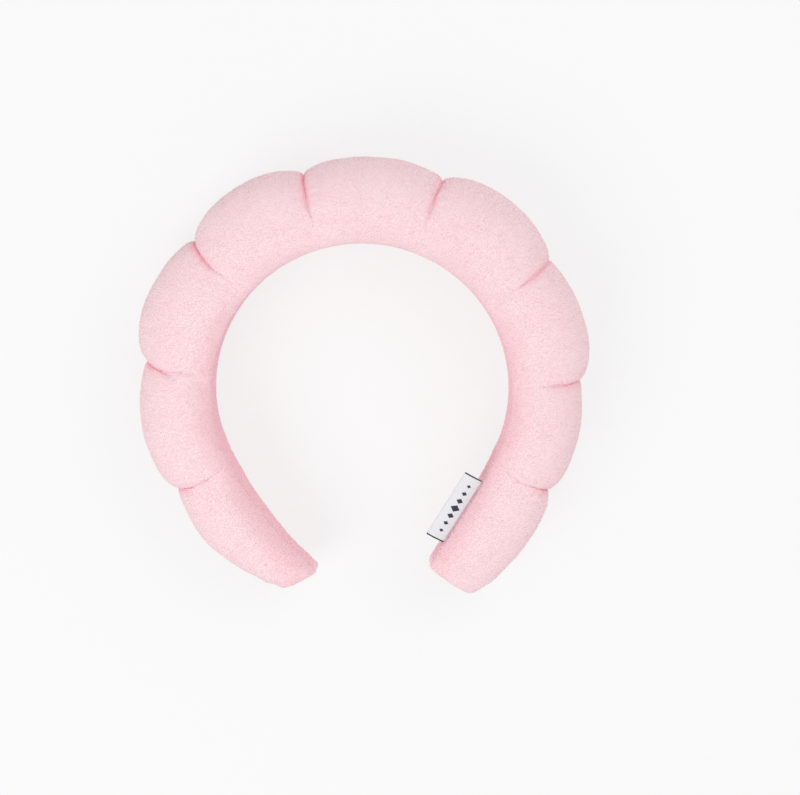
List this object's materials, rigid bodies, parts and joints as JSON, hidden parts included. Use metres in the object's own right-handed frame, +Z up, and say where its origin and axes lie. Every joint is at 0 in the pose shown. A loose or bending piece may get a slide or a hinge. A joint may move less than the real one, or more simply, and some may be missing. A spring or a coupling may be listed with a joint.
{
  "type": "padded spa headband",
  "caption": "Open ring of plump terry puffs tied round a springy hoop, lying flat, with a small folded label on one arm.",
  "frame": {"origin": "middle of the outline's box, on the table that the headband lies on", "axes": "+Z up from the table, +Y towards the crown of the head, +X towards the arm with the label"},
  "size_m": [0.1808, 0.175, 0.0414],
  "materials": {
    "terry": "matte",
    "thread": "matte",
    "hoop_plastic": "satin",
    "foam": "matte",
    "label_ribbon": "satin"
  },
  "bodies": {
    "crown": {"hoop_crown": "hoop_plastic", "foam_crown": "foam", "cover_crown": "terry", "lining_crown": "terry", "seam_crown": "thread", "tie_left_1": "thread", "tie_right_1": "thread"},
    "left_1": {"hoop_left_1": "hoop_plastic", "foam_left_1": "foam", "cover_left_1": "terry", "lining_left_1": "terry", "seam_left_1": "thread", "tie_left_2": "thread"},
    "left_2": {"hoop_left_2": "hoop_plastic", "foam_left_2": "foam", "cover_left_2": "terry", "lining_left_2": "terry", "seam_left_2": "thread", "tie_left_3": "thread"},
    "left_3": {"hoop_left_3": "hoop_plastic", "foam_left_3": "foam", "cover_left_3": "terry", "lining_left_3": "terry", "seam_left_3": "thread", "tie_left_4": "thread"},
    "left_4": {"hoop_left_4": "hoop_plastic", "foam_left_4": "foam", "cover_left_4": "terry", "lining_left_4": "terry", "seam_left_4": "thread", "end_fold_left": "terry"},
    "right_1": {"hoop_right_1": "hoop_plastic", "foam_right_1": "foam", "cover_right_1": "terry", "lining_right_1": "terry", "seam_right_1": "thread", "tie_right_2": "thread"},
    "right_2": {"hoop_right_2": "hoop_plastic", "foam_right_2": "foam", "cover_right_2": "terry", "lining_right_2": "terry", "seam_right_2": "thread", "tie_right_3": "thread"},
    "right_3": {"hoop_right_3": "hoop_plastic", "foam_right_3": "foam", "cover_right_3": "terry", "lining_right_3": "terry", "seam_right_3": "thread", "tie_right_4": "thread"},
    "right_4": {"hoop_right_4": "hoop_plastic", "foam_right_4": "foam", "cover_right_4": "terry", "lining_right_4": "terry", "seam_right_4": "thread", "end_fold_right": "terry"},
    "label_flap": {"label": "label_ribbon"}
  },
  "joints": [
    {"name": "left_bend_1", "type": "hinge", "parent": "crown", "child": "left_1", "pos_m": [-0.0172, 0.05369, 0.0204], "axis": [0, 0, -1], "range_deg": [-2, 7], "stiffness_Nm_per_rad": 6.52},
    {"name": "left_bend_2", "type": "hinge", "parent": "left_1", "child": "left_2", "pos_m": [-0.04744, 0.03516, 0.0204], "axis": [0, 0, -1], "range_deg": [-1.7, 5.95]},
    {"name": "left_bend_3", "type": "hinge", "parent": "left_2", "child": "left_3", "pos_m": [-0.06288, 0.00206, 0.0204], "axis": [0, 0, -1], "range_deg": [-1.2, 4.2]},
    {"name": "left_bend_4", "type": "hinge", "parent": "left_3", "child": "left_4", "pos_m": [-0.05617, -0.03595, 0.0204], "axis": [0, 0, -1], "range_deg": [-0.6, 2.1]},
    {"name": "right_bend_1", "type": "hinge", "parent": "crown", "child": "right_1", "pos_m": [0.02135, 0.05167, 0.0204], "axis": [0, 0, 1], "range_deg": [-2, 7], "stiffness_Nm_per_rad": 6.52},
    {"name": "right_bend_2", "type": "hinge", "parent": "right_1", "child": "right_2", "pos_m": [0.05012, 0.02919, 0.0204], "axis": [0, 0, 1], "range_deg": [-1.7, 5.95]},
    {"name": "right_bend_3", "type": "hinge", "parent": "right_2", "child": "right_3", "pos_m": [0.06133, -0.00336, 0.0204], "axis": [0, 0, 1], "range_deg": [-1.2, 4.2]},
    {"name": "right_bend_4", "type": "hinge", "parent": "right_3", "child": "right_4", "pos_m": [0.05411, -0.03595, 0.0204], "axis": [0, 0, 1], "range_deg": [-0.6, 2.1]},
    {"name": "label_flap_hinge", "type": "hinge", "parent": "right_4", "child": "label_flap", "pos_m": [0.03941, -0.05448, 0.03005], "axis": [0.5163, 0.848, 0.1195], "range_deg": [-70, 45], "stiffness_Nm_per_rad": 0.002}
  ],
  "couplings": [
    {"joint": "left_bend_2", "follows": "left_bend_1", "ratio": 0.85},
    {"joint": "left_bend_3", "follows": "left_bend_1", "ratio": 0.6},
    {"joint": "left_bend_4", "follows": "left_bend_1", "ratio": 0.3},
    {"joint": "right_bend_2", "follows": "right_bend_1", "ratio": 0.85},
    {"joint": "right_bend_3", "follows": "right_bend_1", "ratio": 0.6},
    {"joint": "right_bend_4", "follows": "right_bend_1", "ratio": 0.3}
  ]
}
